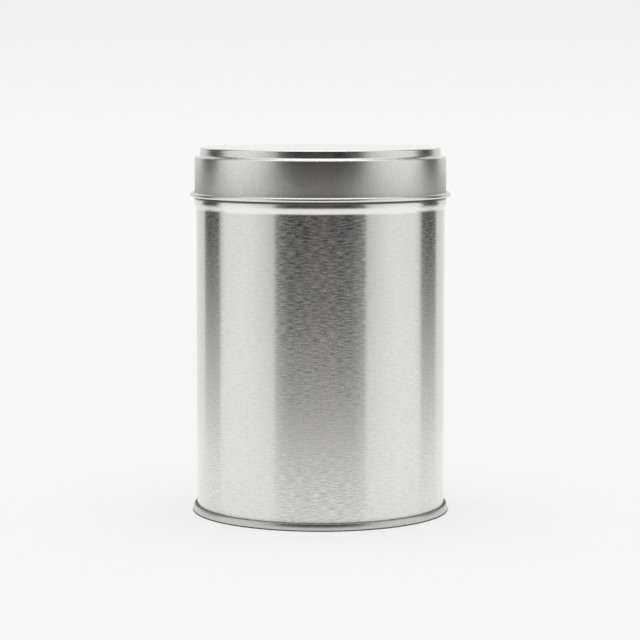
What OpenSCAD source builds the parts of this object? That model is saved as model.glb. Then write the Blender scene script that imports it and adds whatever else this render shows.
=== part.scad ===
// Round slip-lid candle tin in bright tinplate: a welded body with a stop bead and a rolled rim,
// a stamped end held on by a real double seam, and a drawn lid that lifts off.
// Millimetres. +Z is up, and the origin is the centre of the ring that the tin stands on.

/* [Tin] */
// Outside diameter of the body wall
body_d = 75; // [70:0.5:90]
// Height over all with the lid on
total_h = 110; // [60:1:150]
// Thickness of the tinplate
sheet_t = 0.23; // [0.2:0.01:0.25]

/* [Lid] */
// Height of the lid from its curled edge to its top
lid_h = 14.9; // [12:0.05:20]
// Gap between the lid's skirt and the neck, measured on the radius
lid_gap = 0.15; // [0.1:0.01:0.25]
// Height of the raised top panel above the ledge round it
panel_rise = 2.7; // [2.4:0.1:3.5]
// Distance from the skirt's outside in to the raised panel's wall
ledge_w = 1.7; // [1.6:0.05:3]
// Outside radius of the lid's curled edge, across the tin
lid_curl_r = 0.83; // [0.75:0.01:1]

/* [Body] */
// How far the stop bead stands out of the wall
bead_out = 0.72; // [0.3:0.01:0.8]
// Half of the stop bead's height
bead_half_h = 2.35; // [1.8:0.05:3]
// Drop from the lid's curled edge to the middle of the bead
bead_drop = 1.3; // [1:0.05:3]
// Outside radius of the rolled rim at the mouth
rim_r = 0.75; // [0.6:0.01:1]

/* [Base] */
// Height of the double seam
seam_h = 2.2; // [2.1:0.05:3]
// How far the double seam stands out of the wall
seam_out = 1.12; // [1.1:0.01:1.2]
// Depth of the recess under the base
recess_depth = 3.1; // [2.9:0.1:5]
// Radius of the ring pressed into the base panel
ring_r = 28; // [15:0.5:30]

/* [Hidden] */

// Facets round a full turn
$fn = 180;
// Largest turn between two points on an arc of a profile
arc_step = 15;
half_t = sheet_t / 2;

// Body wall: outer face, middle of the sheet and inner face
wall_r = body_d / 2;
wall_mid_r = wall_r - half_t;
wall_in_r = wall_r - sheet_t;

// Lid
skirt_r = wall_r + lid_gap + sheet_t;
ledge_z = total_h - panel_rise;
panel_r = skirt_r - ledge_w;
panel_corner_r = 0.45;
ledge_fillet_r = 0.8;
skirt_corner_r = 0.5;
lid_bottom_z = total_h - lid_h;
// The curled edge is a little flattened, and its cut end stops just short of the skirt
lid_curl_tall = 0.95;
lid_curl_turn = 305;

// Stop bead, a raised-cosine swelling of the wall
bead_z = lid_bottom_z - bead_drop;
bead_steps = 14;

// Rolled rim, which stops just short of the ledge's underside
rim_seat_gap = 0.02;
rim_top_z = ledge_z - sheet_t - rim_seat_gap;
rim_turn = 300;

// Weld down the back of the body, where the sheet's two edges overlap and are squeezed together
weld_t = sheet_t * 1.35;
weld_w = 0.9;
weld_angle = weld_w / wall_r * 180 / PI;
weld_bottom_z = seam_h + 0.4;
weld_top_z = rim_top_z - 2 * rim_r;

// Double seam, from the inside out: chuck wall, body wall, cover hook, body hook, seam wall
layer_gap = 0.03;
chuck_r = wall_in_r - layer_gap - sheet_t;
cover_hook_mid_r = wall_r + 2 * layer_gap + half_t;
body_hook_mid_r = cover_hook_mid_r + 3 * layer_gap + sheet_t;
seam_r = wall_r + seam_out;
seam_foot_r = 0.45;

// The body hook is the turned-out foot of the wall
body_bend_r = (body_hook_mid_r - wall_mid_r) / 2;
body_bend_z = sheet_t + layer_gap + half_t + body_bend_r;
body_hook_top_z = seam_h - 0.55;

// Towards the seam's top the sheet leans in on a large radius, then turns on a tight one into the
// cover hook
seam_shoulder_r = 3.4;
shoulder_mid_r = seam_shoulder_r - half_t;
hook_bend_r = 0.32;
shoulder_r = seam_r - seam_shoulder_r;
bend_offset = shoulder_mid_r - hook_bend_r;
shoulder_turn = acos((cover_hook_mid_r + hook_bend_r - shoulder_r) / bend_offset);
hook_bend_z = seam_h - half_t - hook_bend_r;
shoulder_z = hook_bend_z - bend_offset * sin(shoulder_turn);
cover_hook_end_z = body_bend_z + layer_gap;

// The compound stops where the seam wall leans in, and keeps clear of it
compound_top_z = body_hook_top_z - 0.3;
compound_lean = 2.5 * layer_gap;

// Base panel
chuck_corner_r = 0.6;
ring_h = 0.5;
ring_w = 2.4;
ring_steps = 6;

// Points on an arc round [cr, cz] from turn a0 to turn a1, stretched upwards by tall
function arc(cr, cz, r, a0, a1, tall = 1) =
    let (n = ceil(abs(a1 - a0) / arc_step))
    [for (i = [0:n]) let (a = a0 + (a1 - a0) * i / n) [cr + r * cos(a), cz + tall * r * sin(a)]];

// Height at x of a raised-cosine swelling, h high in the middle and w from there to its foot
function swell(x, h, w) = h * (1 + cos(180 * x / w)) / 2;

// Points up the wall across the stop bead
function bead_points() =
    [for (i = [-bead_steps:bead_steps])
        let (x = bead_half_h * i / bead_steps)
        [wall_mid_r + swell(x, bead_out, bead_half_h), bead_z + x]];

// Unit direction from p to q
function heading(p, q) = (q - p) / norm(q - p);

// Point i of a path moved d to its left, so that a strip keeps its thickness round a bend
function beside(path, i, d) =
    let (
        last = len(path) - 1,
        before = heading(path[max(i - 1, 0)], path[max(i, 1)]),
        after = heading(path[min(i, last - 1)], path[min(i + 1, last)]),
        mean = heading([0, 0], before + after)
    )
    path[i] + d / (mean * before) * [-mean.y, mean.x];

// Outline of a strip of thickness t whose middle follows a path
function strip(path, t) =
    let (last = len(path) - 1)
    concat(
        [for (i = [0:last]) beside(path, i, t / 2)],
        [for (i = [last:-1:0]) beside(path, i, -t / 2)]
    );

// Middle of the body's sheet, from the hook in the seam, up the wall and round the rim
body_path = concat(
    [[body_hook_mid_r, body_hook_top_z]],
    arc(wall_mid_r + body_bend_r, body_bend_z, body_bend_r, 0, -180),
    bead_points(),
    arc(wall_r - rim_r, rim_top_z - rim_r, rim_r - half_t, 0, rim_turn)
);

// Middle of the weld, which ends short of the seam and of the rim
weld_path = concat(
    [[wall_mid_r, weld_bottom_z]],
    bead_points(),
    [[wall_mid_r, weld_top_z]]
);

// Middle of the stamped end's sheet, from its centre out, under the body hook and over it
base_path = concat(
    [[0, recess_depth + half_t]],
    [for (i = [-ring_steps:ring_steps])
        let (x = ring_w / 2 * i / ring_steps)
        [ring_r + x, recess_depth + half_t + swell(x, ring_h, ring_w / 2)]],
    arc(chuck_r - chuck_corner_r, recess_depth - chuck_corner_r, chuck_corner_r + half_t, 90, 0),
    arc(chuck_r + seam_foot_r, seam_foot_r, seam_foot_r - half_t, 180, 270),
    arc(seam_r - seam_foot_r, seam_foot_r, seam_foot_r - half_t, 270, 360),
    arc(shoulder_r, shoulder_z, shoulder_mid_r, 0, shoulder_turn),
    arc(cover_hook_mid_r + hook_bend_r, hook_bend_z, hook_bend_r, shoulder_turn + arc_step, 180),
    [[cover_hook_mid_r, cover_hook_end_z]]
);

// Middle of the lid's sheet, from the centre of its top out and down to the curled edge
lid_path = concat(
    [[0, total_h - half_t]],
    arc(panel_r - panel_corner_r, total_h - panel_corner_r, panel_corner_r - half_t, 90, 0),
    arc(panel_r + ledge_fillet_r, ledge_z + ledge_fillet_r, ledge_fillet_r + half_t, 180, 270),
    arc(skirt_r - skirt_corner_r, ledge_z - skirt_corner_r, skirt_corner_r - half_t, 90, 0),
    arc(skirt_r - sheet_t + lid_curl_r, lid_bottom_z + lid_curl_r * lid_curl_tall,
        lid_curl_r - half_t, 180, 180 + lid_curl_turn, lid_curl_tall)
);

// Rolled and welded body: hook, wall, stop bead, neck and rim in one sheet, weld at the back
module body_shell() {
    color("gainsboro") {
        rotate_extrude() polygon(strip(body_path, sheet_t));
        rotate([0, 0, 90 - weld_angle / 2])
            rotate_extrude(angle = weld_angle) polygon(strip(weld_path, weld_t));
    }
}

// Stamped end: recessed panel with a pressed ring, chuck wall, seam wall and cover hook
module base_end() {
    color("silver") rotate_extrude() polygon(strip(base_path, sheet_t));
}

// Rubber compound that seals the seam, between the body hook and the seam wall
module seam_compound() {
    inner_r = body_hook_mid_r + half_t + layer_gap / 2;
    outer_r = seam_r - sheet_t - compound_lean;
    color("dimgray") rotate_extrude()
        translate([inner_r, body_bend_z])
        square([outer_r - inner_r, compound_top_z - body_bend_z]);
}

// Drawn lid: raised panel, ledge, skirt and outward curled edge in one sheet
module lid_shell() {
    color("gainsboro") rotate_extrude() polygon(strip(lid_path, sheet_t));
}

body_shell();
base_end();
seam_compound();
lid_shell();
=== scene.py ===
import math

import bpy
import numpy as np
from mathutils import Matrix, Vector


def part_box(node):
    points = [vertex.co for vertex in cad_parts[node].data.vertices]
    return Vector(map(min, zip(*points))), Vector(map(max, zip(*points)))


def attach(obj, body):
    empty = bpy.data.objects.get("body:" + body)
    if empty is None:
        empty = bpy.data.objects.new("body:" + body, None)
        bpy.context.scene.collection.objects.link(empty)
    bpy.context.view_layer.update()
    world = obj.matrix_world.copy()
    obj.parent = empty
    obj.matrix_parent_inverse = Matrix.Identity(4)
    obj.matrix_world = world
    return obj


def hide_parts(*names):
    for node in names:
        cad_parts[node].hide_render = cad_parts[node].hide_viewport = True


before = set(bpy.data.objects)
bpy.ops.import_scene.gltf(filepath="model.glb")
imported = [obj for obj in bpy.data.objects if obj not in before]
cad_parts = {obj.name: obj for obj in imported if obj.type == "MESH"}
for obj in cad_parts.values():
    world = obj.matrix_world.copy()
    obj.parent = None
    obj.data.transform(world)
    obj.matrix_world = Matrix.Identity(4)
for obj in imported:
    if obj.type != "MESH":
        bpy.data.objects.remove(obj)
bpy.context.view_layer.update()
scene = bpy.context.scene


# ---- Camera ----
# A long lens a little higher than the lid, tilted down to put the tin in the middle of a square
# picture. Lengths in this file are in metres, but the lens and its sensor are in millimetres.

camera_place = (-0.00013, -0.724, 0.1305)
camera_tilt = math.radians(5.741)
lens_mm = 135.03
sensor_mm = 36
camera = bpy.data.objects.new("camera", bpy.data.cameras.new("camera"))
camera.data.sensor_width = sensor_mm
camera.data.lens = lens_mm
camera.location = camera_place
camera.rotation_euler = (math.pi / 2 - camera_tilt, 0, 0)
scene.collection.objects.link(camera)
scene.camera = camera
scene.view_settings.view_transform = "Standard"


# ---- Studio ----
# A white table that melts into a white surround, a soft light overhead, and a ring of cards that
# only the metal sees. The cards give polished tin its dark middle and its two bright bands.

class Wire:
    """An output socket. Sums, differences and products of wires and numbers add Math nodes."""

    def __init__(self, tree, socket=None):
        self.tree = tree
        self.socket = socket

    def node(self, kind, settings=None, sockets=None, output=0):
        """Adds a node, sets its settings, then its sockets' values or links, and wires one output."""
        made = self.tree.nodes.new(kind)
        for name, value in (settings or {}).items():
            if name == "stops":
                self.fill_ramp(made.color_ramp, value)
            else:
                setattr(made, name, value)
        for name, value in (sockets or {}).items():
            if isinstance(value, Wire):
                self.tree.links.new(value.socket, made.inputs[name])
            else:
                made.inputs[name].default_value = value
        return Wire(self.tree, made.outputs[output] if made.outputs else None)

    @staticmethod
    def fill_ramp(ramp, stops):
        """Puts (place, colour) stops on a colour ramp, in order."""
        while len(ramp.elements) < len(stops):
            ramp.elements.new(1.0)
        for element, (place, colour) in zip(ramp.elements, stops):
            element.position = place
            element.color = (*colour, 1.0)

    def math(self, operation, *values):
        return self.node("ShaderNodeMath", {"operation": operation}, dict(enumerate(values)))

    def __add__(self, other):
        return self.math("ADD", self, other)

    __radd__ = __add__

    def __sub__(self, other):
        return self.math("SUBTRACT", self, other)

    def __rsub__(self, other):
        return self.math("SUBTRACT", other, self)

    def __mul__(self, other):
        return self.math("MULTIPLY", self, other)

    __rmul__ = __mul__

    def other(self, name):
        """Another output of the node that this wire comes from."""
        return Wire(self.tree, self.socket.node.outputs[name])

    def ramp(self, low, high):
        """0 below low, 1 above high and a smooth step between them."""
        between = {"Value": self, "From Min": low, "From Max": high}
        return self.node("ShaderNodeMapRange", {"interpolation_type": "SMOOTHSTEP"}, between)

    def tint(self, low, high):
        """The colour low where this wire is 0, the colour high where it is 1, and a mix between."""
        low, high = [colour if isinstance(colour, Wire) else (*colour, 1) for colour in (low, high)]
        return self.node("ShaderNodeMix", {"data_type": "RGBA"}, {0: self, 6: low, 7: high}, 2)


def new_material(name):
    """An empty material and the wire that its nodes start from."""
    material = bpy.data.materials.new(name)
    material.use_nodes = True
    material.node_tree.nodes.clear()
    return material, Wire(material.node_tree)


def finish_material(start, shader):
    """Joins a shader to the material's output."""
    start.node("ShaderNodeOutputMaterial", None, {"Surface": shader})


def mesh_object(name, vertices, faces, material):
    """A new object from arrays of vertices and lists of faces, smooth, with one material."""
    mesh = bpy.data.meshes.new(name)
    mesh.from_pydata(vertices, [], faces)
    mesh.polygons.foreach_set("use_smooth", np.ones(len(mesh.polygons), bool))
    mesh.materials.append(material)
    made = bpy.data.objects.new(name, mesh)
    scene.collection.objects.link(made)
    return made


# The surround is a little dimmer above the horizon than below it
surround_low = (0.945, 0.945, 0.945)
surround_high = (0.875, 0.875, 0.875)
surround_change = (-0.06, 0.05)
world = bpy.data.worlds.new("surround")
world.use_nodes = True
world.node_tree.nodes.clear()
start = Wire(world.node_tree)
away = start.node("ShaderNodeTexCoord", None, None, "Generated")
rise = start.node("ShaderNodeSeparateXYZ", None, {0: away}, "Z").ramp(*surround_change)
sky = start.node("ShaderNodeBackground", None, {"Color": rise.tint(surround_low, surround_high)})
start.node("ShaderNodeOutputWorld", None, {"Surface": sky})
scene.world = world

# The table, dull white and glowing by itself, a painted light that keeps shadows on it weak. Right
# under the tin the glow is cut off, a painted shadow. It fades into the surround from
# table_fade[0] to table_fade[1] out.
table_white = 0.28
table_painted_glow = 0.64
table_fade = (0.25, 0.6)
# Painted shadow: inside this radius, under the tin's foot, the table's glow is cut off
painted_shadow_under_tin = (0.0384, 0.0392)
table_drop = 0.00004
material, start = new_material("table_white")
place = start.node("ShaderNodeTexCoord", None, None, "Object")
out = start.node("ShaderNodeVectorMath", {"operation": "LENGTH"}, {0: place}, "Value")
paint = start.node("ShaderNodeBsdfPrincipled", None, {
    "Base Color": (*[table_white] * 3, 1),
    "Roughness": 1.0,
    "Specular IOR Level": 0.0,
    "Emission Color": out.ramp(*painted_shadow_under_tin) * table_painted_glow,
    "Emission Strength": 1.0,
})
clear = start.node("ShaderNodeBsdfTransparent")
faded = start.node("ShaderNodeMixShader", None, {0: out.ramp(*table_fade), 1: paint, 2: clear})
finish_material(start, faded)
corners = np.array([(-1, -1), (1, -1), (1, 1), (-1, 1)]) * table_fade[1]
corners = np.column_stack([corners, np.full(len(corners), -table_drop)])
table = mesh_object("table", corners, [(0, 1, 2, 3)], material)

# The soft light overhead
softbox_size = 0.7
softbox_z = 0.9
softbox_radiance = 1.05
softbox = bpy.data.objects.new("softbox", bpy.data.lights.new("softbox", "AREA"))
softbox.data.size = softbox_size
softbox.data.energy = softbox_radiance * math.pi * softbox_size**2
softbox.location = (0, 0, softbox_z)
softbox.visible_camera = False
scene.collection.objects.link(softbox)

# The ring of cards: how bright it is at each turn away from the camera, in degrees, up at the lid
# and down at the table, where light from the table washes over it
cards_r = 0.2
cards_top = 0.36
cards_fade = 0.08
cards_wash = (0.0, 0.085)
cards_count = 96
cards_high = [
    (0, (0.046, 0.038, 0.031)),
    (10, (0.046, 0.038, 0.031)),
    (13, (0.012, 0.014, 0.018)),
    (26, (0.026, 0.028, 0.032)),
    (37, (0.125, 0.127, 0.131)),
    (39, (0.54, 0.54, 0.54)),
    (49, (0.68, 0.68, 0.68)),
    (58, (0.79, 0.79, 0.79)),
    (68, (0.84, 0.84, 0.84)),
    (90, (0.81, 0.81, 0.81)),
    (96, (0.62, 0.62, 0.62)),
    (98, (0.10, 0.10, 0.10)),
    (110, (0.04, 0.04, 0.04)),
    (122, (0.10, 0.10, 0.10)),
    (126, (0.66, 0.66, 0.66)),
    (150, (0.80, 0.80, 0.80)),
    (165, (0.95, 0.95, 0.95)),
    (180, (0.97, 0.97, 0.97)),
]
cards_low = [
    (0, (0.24, 0.23, 0.22)),
    (26, (0.25, 0.25, 0.25)),
    (37, (0.46, 0.46, 0.46)),
    (39, (0.78, 0.78, 0.78)),
    (68, (0.92, 0.92, 0.92)),
    (96, (0.92, 0.92, 0.92)),
    (98, (0.65, 0.65, 0.65)),
    (122, (0.65, 0.65, 0.65)),
    (126, (0.82, 0.82, 0.82)),
    (180, (0.86, 0.86, 0.86)),
]
material, start = new_material("cards")
place = start.node("ShaderNodeTexCoord", None, None, "Object")
across = start.node("ShaderNodeSeparateXYZ", None, {0: place}, "X")
up = across.other("Z")
turn = start.math("ABSOLUTE", start.math("ARCTAN2", across, across.other("Y") * -1)) * (1 / math.pi)
glows = []
for cards_across in (cards_low, cards_high):
    stops = [(degrees / 180, colour) for degrees, colour in cards_across]
    glows.append(start.node("ShaderNodeValToRGB", {"stops": stops}, {"Fac": turn}))
lit = start.node("ShaderNodeEmission", None, {"Color": up.ramp(*cards_wash).tint(*glows)})
clear = start.node("ShaderNodeBsdfTransparent")
above = up.ramp(cards_top - cards_fade, cards_top)
faded = start.node("ShaderNodeMixShader", None, {0: above, 1: lit, 2: clear})
finish_material(start, faded)
material.cycles.emission_sampling = "NONE"
ring = np.radians(np.arange(cards_count) * 360 / cards_count)
ring = np.column_stack([np.cos(ring), np.sin(ring)]) * cards_r
low = np.column_stack([ring, np.zeros(cards_count)])
high = np.column_stack([ring, np.full(cards_count, cards_top)])
step = np.arange(cards_count)
after = (step + 1) % cards_count
faces = np.column_stack([step, step + cards_count, after + cards_count, after])
cards = mesh_object("cards", np.vstack([low, high]), faces.tolist(), material)
cards.visible_camera = False
cards.visible_diffuse = False
cards.visible_shadow = False
cards.visible_transmission = False


# ---- Body ----
# One sheet of bright tinplate, rolled round with its grain running round the tin and welded down
# the back. The foot is turned out into the seam, and the mouth is rolled inward to a safe rim.

sheet_t = 0.00023
seam_out = 0.00112
wall_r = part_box("base_end")[1].x - seam_out
wall_mid_r = wall_r - sheet_t / 2
seam_top = 0.0022
lid_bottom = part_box("lid_shell")[0].z
rim_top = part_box("body_shell")[1].z
rim_r = 0.00075
rim_turn = 300
bead_out = 0.00072
bead_half_h = 0.00235
bead_drop = 0.0013
bead_z = lid_bottom - bead_drop
layer_gap = 0.00003
cover_hook_mid_r = wall_r + 2 * layer_gap + sheet_t / 2
body_hook_mid_r = cover_hook_mid_r + 3 * layer_gap + sheet_t
body_bend_r = (body_hook_mid_r - wall_mid_r) / 2
body_bend_z = 1.5 * sheet_t + layer_gap + body_bend_r
body_hook_top = seam_top - 0.00055

turns = 240
sharp_edge = math.radians(40)
same_point = 1e-7
on_axis = 1e-9
ripple_h = 0.000006
ripple_foot = (0.006, 0.026)
ripple_end = 0.01
ripple_waves = [
    (1, 3, 0, 1.1),
    (0.7, 7, 60, 0),
    (0.4, 13, -110, 2.0),
]


def arc(r, z, radius, start, end, tall=1.0, step=7.5):
    """Points (r + radius cos a, z + tall radius sin a) for turns a from start to end in degrees."""
    a = np.radians(np.linspace(start, end, math.ceil(abs(end - start) / step) + 1))
    return np.column_stack([r + radius * np.cos(a), z + tall * radius * np.sin(a)])


def run(start, end, count):
    """Points along a straight line at shares (1 - cos a) / 2, which crowd towards both its ends."""
    share = (1 - np.cos(np.linspace(0, math.pi, count + 1))) / 2
    return np.outer(1 - share, start) + np.outer(share, end)


def joined(*stretches):
    """One path from several, without the points that two stretches share."""
    path = np.vstack(stretches)
    step = np.linalg.norm(np.diff(path, axis=0), axis=1)
    return path[np.concatenate([[True], step > same_point])]


def sideways(path):
    """Unit vectors to the left of a path: a quarter turn from the mean of the two steps at a point."""
    step = np.diff(path, axis=0)
    step /= np.linalg.norm(step, axis=1)[:, None]
    mean = np.vstack([step[:1], step[:-1] + step[1:], step[-1:]])
    mean /= np.linalg.norm(mean, axis=1)[:, None]
    return np.column_stack([-mean[:, 1], mean[:, 0]])


def rolled_flat(path, turn):
    """Where a rolled sheet lay when flat: round the wall by turn, and along the path."""
    step = np.linalg.norm(np.diff(path, axis=0), axis=1)
    along = np.concatenate([[0], np.cumsum(step)])
    return np.stack(np.broadcast_arrays(wall_r * turn[None, :], along[:, None]), -1)


def turned_sheet(name, path, flat, material, ripple=None):
    """A sheet of even thickness turned round +Z.

    The outline is the path moved half a thickness to each side. A point at turn a from the weld is
    (-r sin a, r cos a, z), where ripple(a, r, z) may add a little to r. flat(path, a) gives its UV.
    """
    side = sideways(path) * sheet_t / 2
    outline = np.vstack([path + side, (path - side)[::-1]])
    a = np.linspace(0, 2 * math.pi, turns + 1)
    sheet = flat(path, a)
    sheet = np.concatenate([sheet, sheet[::-1]])
    r = np.repeat(outline[:, :1], turns, 1)
    z = np.repeat(outline[:, 1:], turns, 1)
    if ripple:
        r = r + ripple(a[None, :-1], r, z)
    vertices = np.stack([-r * np.sin(a[:-1]), r * np.cos(a[:-1]), z], -1).reshape(-1, 3)
    rows = len(outline)
    number = np.arange(rows * turns).reshape(rows, turns)
    # A row on the axis is one point, and an outline that starts and ends there isn't closed
    poles = [row for row in (0, rows - 1) if outline[row, 0] < on_axis]
    for row in poles:
        number[row] = number[row, 0]
    row, column = np.meshgrid(np.arange(rows), np.arange(turns), indexing="ij")
    if poles:
        row, column = row[:-1], column[:-1]
    row, column = row.ravel(), column.ravel()
    next_row = (row + 1) % rows
    corner_rows = np.stack([row, row, next_row, next_row], 1)
    corner_columns = np.stack([column, column + 1, column + 1, column], 1)
    quads = number[corner_rows, corner_columns % turns]
    uv = sheet[corner_rows, corner_columns]
    # A quad with one edge on the axis loses a corner and is a triangle
    at_first = quads[:, 0] == quads[:, 1]
    at_last = quads[:, 2] == quads[:, 3]
    keep = np.ones(quads.shape, bool)
    keep[at_first, 1] = False
    keep[at_last, 3] = False
    used, numbered = np.unique(quads[keep], return_inverse=True)
    ends = np.cumsum(keep.sum(1))
    faces = [part.tolist() for part in np.split(numbered, ends[:-1])]
    made = mesh_object(name, vertices[used], faces, material)
    layer = made.data.uv_layers.new(name="sheet")
    layer.data.foreach_set("uv", uv[keep].astype(np.float32).ravel())
    made.data.set_sharp_from_angle(angle=sharp_edge)
    return made


def stretched_noise(sheet, length, height, detail=2.0, roughness=0.45, seed=0.0):
    """Noise from 0 to 1 whose features are about length by height metres on the flat sheet."""
    scale = (1 / length, 1 / height, 1.0)
    scaled = sheet.node("ShaderNodeVectorMath", {"operation": "MULTIPLY"}, {0: sheet, 1: scale})
    moved = sheet.node("ShaderNodeVectorMath", {"operation": "ADD"}, {0: scaled, 1: (seed, seed, seed)})
    sockets = {"Vector": moved, "Scale": 1.0, "Detail": detail, "Roughness": roughness}
    return sheet.node("ShaderNodeTexNoise", None, sockets)


def wall_ripple(a, r, z):
    """The few microns by which a rolled wall is out of round.

    ripple_h times the sum of share sin(count a + climb z + start) over ripple_waves, fading to
    nothing towards the seam and the bead.
    """
    off_seam = np.clip((z - ripple_foot[0]) / (ripple_foot[1] - ripple_foot[0]), 0, 1)
    off_bead = np.clip((bead_z - bead_half_h - z) / ripple_end, 0, 1)
    waves = 0
    for share, count, climb, start in ripple_waves:
        waves = waves + share * np.sin(count * a + climb * z + start)
    return ripple_h * off_seam * off_bead * waves


def shaded(colour, share):
    """A colour with every part multiplied by share."""
    return tuple(part * share for part in colour)


# Bright tin with its rolling grain: short streaks that are duller and brighter in turn, with fine
# hairs on them. Beside the weld the tin is tinted by heat and covered by a stripe of lacquer.
# Painted shade darkens the wall just over the seam and the top of the bead under the lid's curl.
# The bead is burnished by the roller that pressed it, so that its grain hardly shows, and its
# lower slope is painted brighter, a painted sheen.
tin_colour = (0.80, 0.797, 0.765)
streak_size = (0.0024, 0.0003)
shine_size = (0.0024, 0.00036)
hair_size = (0.0006, 0.00007)
cloud_size = (0.02, 0.012)
drip_size = (0.004, 0.01)
body_roughness = 0.225
body_anisotropic = 0.94
grain_up_the_wall = 0.25
shine_spread = 0.12
streak_roughness = 0.50
cloud_roughness = 0.05
hair_share = 0.3
body_grain_h = 0.000007
heat_w = 0.0019
heat_colours = [
    (0.0, (0.34, 0.36, 0.42)),
    (0.22, (0.42, 0.33, 0.30)),
    (0.45, (0.66, 0.56, 0.36)),
    (0.75, (0.78, 0.74, 0.62)),
    (1.0, tin_colour),
]
stripe_half_w = 0.0055
stripe_edge = 0.0004
stripe_colour = (0.78, 0.70, 0.50)
stripe_share = 0.22
lacquer_roughness = 0.12
# Painted shade on the wall just over the seam
painted_shade_over_seam = (seam_top - 0.0010, seam_top + 0.0012)
painted_shade_over_seam_share = 0.7
# Painted shade on the top of the bead, under the lid's curl; the burnished bead ends at the same top
bead_painted_shade = (bead_z + 0.0005, bead_z + 0.0011)
bead_shade_and_burnish_end = (bead_z + 0.0026, bead_z + 0.0036)
bead_painted_shade_share = 0.17
# The bead's burnished lower slope: its grain is calmed, and its colour brightened, a painted sheen
burnish_and_sheen_foot = (bead_z - bead_half_h - 0.0003, bead_z - bead_half_h + 0.0006)
painted_sheen_share = 1.13
burnished_calm = 0.85
material, start = new_material("body_tinplate")
sheet = start.node("ShaderNodeUVMap", {"uv_map": "sheet"})
streaks = stretched_noise(sheet, *streak_size)
shine = stretched_noise(sheet, *shine_size, seed=11.0)
hairs = stretched_noise(sheet, *hair_size, seed=7.0)
clouds = stretched_noise(sheet, *cloud_size, seed=3.0)
drips = stretched_noise(sheet, *drip_size, seed=5.0)
place = start.node("ShaderNodeTexCoord", None, None, "Object")
up = start.node("ShaderNodeSeparateXYZ", None, {0: place}, "Z")
half_round = math.pi * wall_r
round_the_wall = start.node("ShaderNodeSeparateXYZ", None, {0: sheet}, "X")
from_weld = half_round - start.math("ABSOLUTE", round_the_wall - half_round)
heated = start.node("ShaderNodeValToRGB", {"stops": heat_colours}, {"Fac": from_weld * (1 / heat_w)})
from_stripe = from_weld + stripe_edge * 2 * (drips - 0.5) - stripe_half_w
lacquered = 1 - from_stripe.ramp(-stripe_edge / 2, stripe_edge / 2)
metal = (lacquered * stripe_share).tint(heated, stripe_colour)
# Painted shade: the wall darkens down towards the seam
metal = up.ramp(*painted_shade_over_seam).tint(shaded(tin_colour, painted_shade_over_seam_share), metal)
# Painted shade on the top of the bead, under the lid's curl
bead_shade_mask = up.ramp(*bead_painted_shade) * (1 - up.ramp(*bead_shade_and_burnish_end))
metal = bead_shade_mask.tint(metal, shaded(tin_colour, bead_painted_shade_share))
burnish_and_sheen = up.ramp(*burnish_and_sheen_foot) * (1 - up.ramp(*bead_shade_and_burnish_end))
grain_left = 1 - burnished_calm * burnish_and_sheen
glint = shine.tint([1 - shine_spread] * 3, [1 + shine_spread] * 3)
# Painted sheen: the colour of the bead's lower slope is brightened
glint = burnish_and_sheen.tint(glint, [painted_sheen_share] * 3)
metal = start.node("ShaderNodeVectorMath", {"operation": "MULTIPLY"}, {0: metal, 1: glint})
height = (streaks + hair_share * hairs) * grain_left
grain = grain_left * (streak_roughness * (streaks - 0.5) + cloud_roughness * (clouds - 0.5))
bump = start.node("ShaderNodeBump", None, {"Strength": 1.0, "Distance": body_grain_h, "Height": height})
surface = start.node("ShaderNodeBsdfPrincipled", None, {
    "Base Color": metal,
    "Metallic": 1.0,
    "Roughness": body_roughness + grain,
    "Anisotropic": body_anisotropic,
    "Anisotropic Rotation": grain_up_the_wall,
    "Coat Weight": lacquered,
    "Coat Roughness": lacquer_roughness,
    "Normal": bump,
})
finish_material(start, surface)

bead_points = np.linspace(-1, 1, 33)
bead_path = np.column_stack([
    wall_mid_r + bead_out * (1 + np.cos(math.pi * bead_points)) / 2,
    bead_z + bead_half_h * bead_points,
])
rim_centre = (wall_r - rim_r, rim_top - rim_r)
body_path = joined(
    run((body_hook_mid_r, body_hook_top), (body_hook_mid_r, body_bend_z), 4),
    arc(wall_mid_r + body_bend_r, body_bend_z, body_bend_r, 0, -180),
    run((wall_mid_r, body_bend_z), (wall_mid_r, bead_z - bead_half_h), 48),
    bead_path,
    run((wall_mid_r, bead_z + bead_half_h), (wall_mid_r, rim_centre[1]), 12),
    arc(*rim_centre, rim_r - sheet_t / 2, 0, rim_turn),
)
body = turned_sheet("body", body_path, rolled_flat, material, wall_ripple)
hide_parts("body_shell")
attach(body, "tin")


# ---- Weld ----
# The line down the back where the two edges of the body's sheet overlap and are squeezed and welded
# together. It stands a little proud on both sides, in one nugget after another, and is burnt grey.

weld_half_w = 0.00045
weld_foot = seam_top + 0.0004
weld_proud = 0.00003
weld_sink = 0.00002
weld_nugget = 0.0011
weld_nugget_share = 0.25
weld_taper = 0.0015
weld_rim_turn = 150


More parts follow.
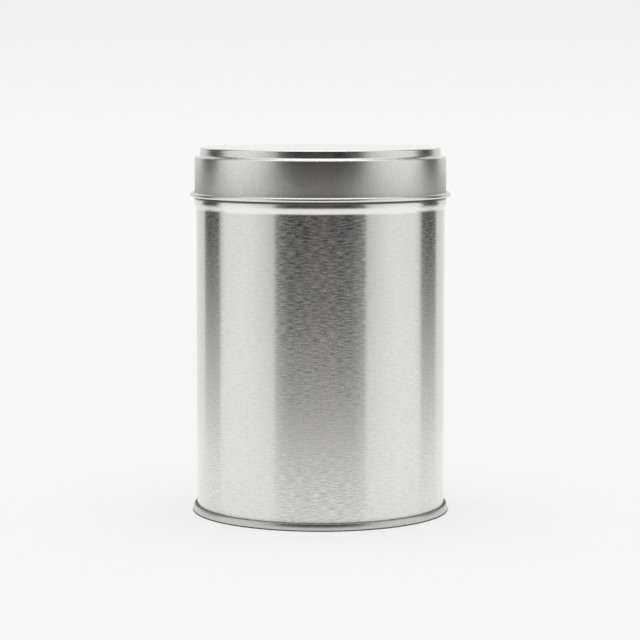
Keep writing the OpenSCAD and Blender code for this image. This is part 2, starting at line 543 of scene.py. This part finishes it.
def weld_strip(path, steps_across=12):
    """A closed strip that follows a path on the sheet.

    At share v across, from -1 to 1, and length s along, its two faces stand off the path's middle by
    half the sheet, less weld_sink, plus (weld_proud + weld_sink)(1 - v^4) taper(s) (1 - nugget(s, v)).
    The nugget is weld_nugget_share sin^2(pi s / weld_nugget + v^2), and the taper goes from 0 to 1
    and back over weld_taper at the two ends.
    """
    side = sideways(path)
    along = np.concatenate([[0], np.cumsum(np.linalg.norm(np.diff(path, axis=0), axis=1))])
    taper = np.clip(np.minimum(along, along[-1] - along) / weld_taper, 0, 1)
    v = np.linspace(-1, 1, steps_across + 1)
    nugget = weld_nugget_share * np.sin(math.pi * along[:, None] / weld_nugget + v**2) ** 2
    proud = (weld_proud + weld_sink) * (1 - v**4) * taper[:, None] * (1 - nugget)
    off = sheet_t / 2 - weld_sink + proud
    outer = path[:, None] - side[:, None] * off[:, :, None]
    inner = path[:, None] + side[:, None] * off[:, :, None]
    loop = np.concatenate([outer, inner[:, ::-1]], 1)
    a = np.concatenate([v, v[::-1]]) * weld_half_w / wall_r
    vertices = np.stack([-loop[..., 0] * np.sin(a), loop[..., 0] * np.cos(a), loop[..., 1]], -1)
    rows, columns = vertices.shape[:2]
    number = np.arange(rows * columns).reshape(rows, columns)
    after = np.roll(number, -1, 1)
    sides = np.stack([number[:-1], number[1:], after[1:], after[:-1]], -1).reshape(-1, 4)
    ends = [number[0].tolist(), number[-1, ::-1].tolist()]
    return vertices.reshape(-1, 3), sides.tolist() + ends


# Burnt and pitted, mottled from bluish to brownish grey
weld_dark = (0.24, 0.25, 0.29)
weld_light = (0.46, 0.43, 0.40)
weld_roughness = 0.42
burnt_roughness = 0.3
burnt_h = 0.00002
burnt_scale = 900.0
mottle_scale = 250.0
mottle_edges = (0.35, 0.65)
material, start = new_material("weld_tinplate")
place = start.node("ShaderNodeTexCoord", None, None, "Object")
burnt = start.node("ShaderNodeTexNoise", None, {"Vector": place, "Scale": burnt_scale, "Detail": 3.0})
mottle = start.node("ShaderNodeTexNoise", None, {"Vector": place, "Scale": mottle_scale, "Detail": 2.0})
bump = start.node("ShaderNodeBump", None, {"Strength": 1.0, "Distance": burnt_h, "Height": burnt})
surface = start.node("ShaderNodeBsdfPrincipled", None, {
    "Base Color": mottle.ramp(*mottle_edges).tint(weld_dark, weld_light),
    "Metallic": 1.0,
    "Roughness": weld_roughness + burnt_roughness * (burnt - 0.5),
    "Normal": bump,
})
finish_material(start, surface)

weld_path = joined(
    run((wall_mid_r, weld_foot), (wall_mid_r, bead_z - bead_half_h), 300),
    bead_path,
    run((wall_mid_r, bead_z + bead_half_h), (wall_mid_r, rim_centre[1]), 40),
    arc(*rim_centre, rim_r - sheet_t / 2, 0, weld_rim_turn),
)
weld = mesh_object("weld", *weld_strip(weld_path), material)
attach(weld, "tin")


# ---- Base end ----
# A stamped tinplate disc: a recessed panel with a pressed ring, a wall up against the inside of
# the body, and an edge folded round the body's foot and rolled tight into a double seam.

chuck_r = wall_r - 2 * sheet_t - layer_gap
seam_r = wall_r + seam_out
seam_foot_r = 0.00045
seam_shoulder_r = 0.0034
shoulder_mid_r = seam_shoulder_r - sheet_t / 2
shoulder_r = seam_r - seam_shoulder_r
hook_bend_r = 0.00032
bend_offset = shoulder_mid_r - hook_bend_r
shoulder_turn = math.degrees(math.acos((cover_hook_mid_r + hook_bend_r - shoulder_r) / bend_offset))
hook_bend_z = seam_top - sheet_t / 2 - hook_bend_r
shoulder_z = hook_bend_z - bend_offset * math.sin(math.radians(shoulder_turn))
cover_hook_end = body_bend_z + layer_gap
recess = 0.0031
chuck_corner_r = 0.0006
ring_r = 0.028
ring_half_w = 0.0012
ring_h = 0.0005


def drawn_flat(path, turn):
    """Where a stamped or drawn sheet lay when flat, if no area is lost: at radius sqrt(2 sum(r ds))."""
    step = np.linalg.norm(np.diff(path, axis=0), axis=1)
    mean_r = (path[1:, 0] + path[:-1, 0]) / 2
    out = np.sqrt(2 * np.concatenate([[0], np.cumsum(mean_r * step)]))
    return np.stack([-out[:, None] * np.sin(turn), out[:, None] * np.cos(turn)], -1)


# Duller than the body, with a straight grain. The foot is scuffed by standing and darkened by
# painted shade, and painted shade makes the top of the seam dark, dull and not metallic.
base_share = 0.74
base_shine_size = (0.003, 0.0004)
base_shine_spread = 0.12
base_roughness = 0.27
base_streak_roughness = 0.12
base_grain_h = 0.000006
scuff_size = (0.0012, 0.0008)
scuff_edges = (0.4, 0.7)
scuff_roughness = 0.2
scuffed_foot = (0.00005, 0.0006)
# Painted shade on the top of the seam: dark, dull and not metallic there
crest_painted_shade = (seam_top - 0.00018, seam_top - 0.00010)
crest_painted_shade_share = 0.3025
crest_shade_roughness = 0.6
# Painted shade at the foot, where the tin stands on the table
foot_painted_shade = (0.00002, 0.00030)
foot_painted_shade_share = 0.3
material, start = new_material("base_tinplate")
sheet = start.node("ShaderNodeUVMap", {"uv_map": "sheet"})
streaks = stretched_noise(sheet, *streak_size)
shine = stretched_noise(sheet, *base_shine_size, seed=11.0)
scuffs = stretched_noise(sheet, *scuff_size, seed=5.0)
place = start.node("ShaderNodeTexCoord", None, None, "Object")
up = start.node("ShaderNodeSeparateXYZ", None, {0: place}, "Z")
out = start.node("ShaderNodeVectorMath", {"operation": "LENGTH"}, {0: place}, "Value")
scuffed = (1 - up.ramp(*scuffed_foot)) * scuffs.ramp(*scuff_edges)
# Painted shade on the top of the seam
crest_shade = up.ramp(*crest_painted_shade) * out.ramp(wall_r, wall_r + layer_gap)
dull_tin = shaded(tin_colour, base_share)
metal = shine.tint(shaded(dull_tin, 1 - base_shine_spread), shaded(dull_tin, 1 + base_shine_spread))
# Painted shade: the colour darkens at the foot
metal = up.ramp(*foot_painted_shade).tint(shaded(dull_tin, foot_painted_shade_share), metal)
grain = base_streak_roughness * (streaks - 0.5)
bump = start.node("ShaderNodeBump", None, {"Strength": 1.0, "Distance": base_grain_h, "Height": streaks})
surface = start.node("ShaderNodeBsdfPrincipled", None, {
    "Base Color": crest_shade.tint(metal, shaded(tin_colour, crest_painted_shade_share)),
    "Metallic": 1 - crest_shade,
    "Roughness": base_roughness + grain + scuff_roughness * scuffed + crest_shade_roughness * crest_shade,
    "Normal": bump,
})
finish_material(start, surface)

panel_mid = recess + sheet_t / 2
ring_points = np.linspace(-1, 1, 17)
ring_path = np.column_stack([
    ring_r + ring_half_w * ring_points,
    panel_mid + ring_h * (1 + np.cos(math.pi * ring_points)) / 2,
])
base_path = joined(
    run((0, panel_mid), (ring_r - ring_half_w, panel_mid), 24),
    ring_path,
    run((ring_r + ring_half_w, panel_mid), (chuck_r - chuck_corner_r, panel_mid), 10),
    arc(chuck_r - chuck_corner_r, recess - chuck_corner_r, chuck_corner_r + sheet_t / 2, 90, 0),
    run((chuck_r + sheet_t / 2, recess - chuck_corner_r), (chuck_r + sheet_t / 2, seam_foot_r), 6),
    arc(chuck_r + seam_foot_r, seam_foot_r, seam_foot_r - sheet_t / 2, 180, 270),
    run((chuck_r + seam_foot_r, sheet_t / 2), (seam_r - seam_foot_r, sheet_t / 2), 4),
    arc(seam_r - seam_foot_r, seam_foot_r, seam_foot_r - sheet_t / 2, 270, 360),
    run((seam_r - sheet_t / 2, seam_foot_r), (seam_r - sheet_t / 2, shoulder_z), 8),
    arc(shoulder_r, shoulder_z, shoulder_mid_r, 0, shoulder_turn, step=2.5),
    arc(cover_hook_mid_r + hook_bend_r, hook_bend_z, hook_bend_r, shoulder_turn, 180),
    run((cover_hook_mid_r, hook_bend_z), (cover_hook_mid_r, cover_hook_end), 6),
)
base = turned_sheet("base", base_path, drawn_flat, material)
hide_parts("base_end")
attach(base, "tin")


# ---- Seam compound ----
# The rubber that seals the double seam. It is poured into the base's curled edge as a liquid, dries
# there, and is squeezed between the folds, where a finished tin shows nothing of it.

rubber_colour = (0.09, 0.09, 0.085)
rubber_roughness = 0.7
rubber_grain_roughness = 0.2
rubber_grain_scale = 4000.0
rubber_grain_h = 0.00001
material, start = new_material("seam_rubber")
place = start.node("ShaderNodeTexCoord", None, None, "Object")
fine = {"Vector": place, "Scale": rubber_grain_scale, "Detail": 2.0}
grains = start.node("ShaderNodeTexNoise", None, fine)
bump = start.node("ShaderNodeBump", None, {"Strength": 1.0, "Distance": rubber_grain_h, "Height": grains})
surface = start.node("ShaderNodeBsdfPrincipled", None, {
    "Base Color": (*rubber_colour, 1),
    "Roughness": rubber_roughness + rubber_grain_roughness * (grains - 0.5),
    "Normal": bump,
})
finish_material(start, surface)
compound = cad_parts["seam_compound"]
compound.data.materials.clear()
compound.data.materials.append(material)


# ---- Lid ----
# One drawn sheet of tinplate: a raised flat top, a ledge round it, and a skirt whose edge is
# curled outward. The sheet's straight grain is pulled down over the skirt by the draw.

lid_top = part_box("lid_shell")[1].z
curl_out_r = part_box("lid_shell")[1].x
lid_gap = 0.00015
skirt_r = wall_r + lid_gap + sheet_t
skirt_flare = 0.00004
panel_rise = 0.0027
ledge_z = lid_top - panel_rise
ledge_w = 0.0017
panel_r = skirt_r - ledge_w
panel_corner_r = 0.00045
ledge_fillet_r = 0.0008
skirt_corner_r = 0.0005
curl_tall = 0.85
curl_lift = 0.0001
curl_r = (curl_out_r - skirt_r + sheet_t) / 2
curl_mid_r = curl_r - sheet_t / 2
curl_z = lid_bottom + curl_lift + sheet_t / 2 + curl_mid_r * curl_tall
curl_turn = 305

# The same tin, pulled rougher the further down the skirt it was drawn, and burnished again where it
# was curled. The grain is straight on the flat sheet, so it leans this way and that on the skirt.
# The top has a few long scratches, and the sharp bends of the ledge and the curl show little grain.
black = (0, 0, 0)
lid_cloud_size = (0.004, 0.002)
scratch_size = (0.02, 0.0001)
scratch_edges = (0.68, 0.74)
lid_roughness = 0.26
drawn_roughness = 0.28
lid_streak_roughness = 0.12
lid_cloud_roughness = 0.10
lid_shine_spread = 0.16
lid_grain_h = 0.000018
flat_grain_share = 0.35
# Painted shade: how much the skirt's colour darkens towards its foot
skirt_painted_shade = 0.17
scratch_h = 0.4
shoulder_smooth = 0.003
skirt_bend = (ledge_z - 0.0040, ledge_z - 0.0012)
ledge_bend = (ledge_z + 0.0003, ledge_z + 0.0007)
bend_calm = 0.85
curl_ends = (curl_z + 0.0005, curl_z + 0.0011)
shaded_curl = (lid_bottom + 0.0001, lid_bottom + 0.0005)
shaded_curl_share = 0.8
grain_turn = math.radians(45)
material, start = new_material("lid_tinplate")
sheet = start.node("ShaderNodeUVMap", {"uv_map": "sheet"})
turned = {"Vector": sheet, "Angle": grain_turn}
laid = start.node("ShaderNodeVectorRotate", {"rotation_type": "Z_AXIS"}, turned)
streaks = stretched_noise(laid, *streak_size)
shine = stretched_noise(laid, *shine_size, seed=11.0)
clouds = stretched_noise(laid, *lid_cloud_size, seed=3.0)
scratches = stretched_noise(sheet, *scratch_size, seed=17.0).ramp(*scratch_edges)
place = start.node("ShaderNodeTexCoord", None, None, "Object")
up = start.node("ShaderNodeSeparateXYZ", None, {0: place}, "Z")
drawn = (ledge_z - up) * (1 / (ledge_z - lid_bottom))
off_curl = up.ramp(*curl_ends)
bend = up.ramp(*skirt_bend) * (1 - up.ramp(*ledge_bend))
grain_left = (1 - bend_calm * bend) * (1 - bend_calm * (1 - off_curl))
shine = grain_left * (shine - 0.5) + 0.5
glint = shine.tint(shaded(tin_colour, 1 - lid_shine_spread), shaded(tin_colour, 1 + lid_shine_spread))
metal = up.ramp(*shaded_curl).tint(shaded(tin_colour, shaded_curl_share), glint)
# Painted shade: the skirt darkens towards its foot, not on the curl
metal = (drawn * off_curl * skirt_painted_shade).tint(metal, black)
grain = grain_left * (lid_streak_roughness * (streaks - 0.5) + lid_cloud_roughness * (clouds - 0.5))
flat = up.ramp(ledge_z, lid_top)
walls = drawn * off_curl * (1 - up.ramp(ledge_z - shoulder_smooth, ledge_z))
height = streaks * (walls + flat_grain_share * flat) - scratches * scratch_h * flat
bump = start.node("ShaderNodeBump", None, {"Strength": 1.0, "Distance": lid_grain_h, "Height": height})
surface = start.node("ShaderNodeBsdfPrincipled", None, {
    "Base Color": metal,
    "Metallic": 1.0,
    "Roughness": lid_roughness + drawn_roughness * drawn * off_curl + grain,
    "Normal": bump,
})
finish_material(start, surface)

panel_mid_r = panel_r - sheet_t / 2
skirt_mid_r = skirt_r - sheet_t / 2
skirt_top = (skirt_mid_r - skirt_flare / 2, ledge_z - skirt_corner_r)
skirt_foot = (curl_out_r - 2 * curl_r + sheet_t / 2, curl_z)
lid_path = joined(
    run((0, lid_top - sheet_t / 2), (panel_r - panel_corner_r, lid_top - sheet_t / 2), 40),
    arc(panel_r - panel_corner_r, lid_top - panel_corner_r, panel_corner_r - sheet_t / 2, 90, 0),
    run((panel_mid_r, lid_top - panel_corner_r), (panel_mid_r, ledge_z + ledge_fillet_r), 6),
    arc(panel_r + ledge_fillet_r, ledge_z + ledge_fillet_r, ledge_fillet_r + sheet_t / 2, 180, 270),
    run((panel_r + ledge_fillet_r, ledge_z - sheet_t / 2),
        (skirt_r - skirt_corner_r, ledge_z - sheet_t / 2), 4),
    arc(skirt_r - skirt_corner_r, ledge_z - skirt_corner_r, skirt_corner_r - sheet_t / 2, 90, 0),
    run(skirt_top, skirt_foot, 32),
    arc(curl_out_r - curl_r, curl_z, curl_mid_r, 180, 180 + curl_turn, curl_tall),
)
lid = turned_sheet("lid", lid_path, drawn_flat, material)
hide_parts("lid_shell")
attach(lid, "lid")
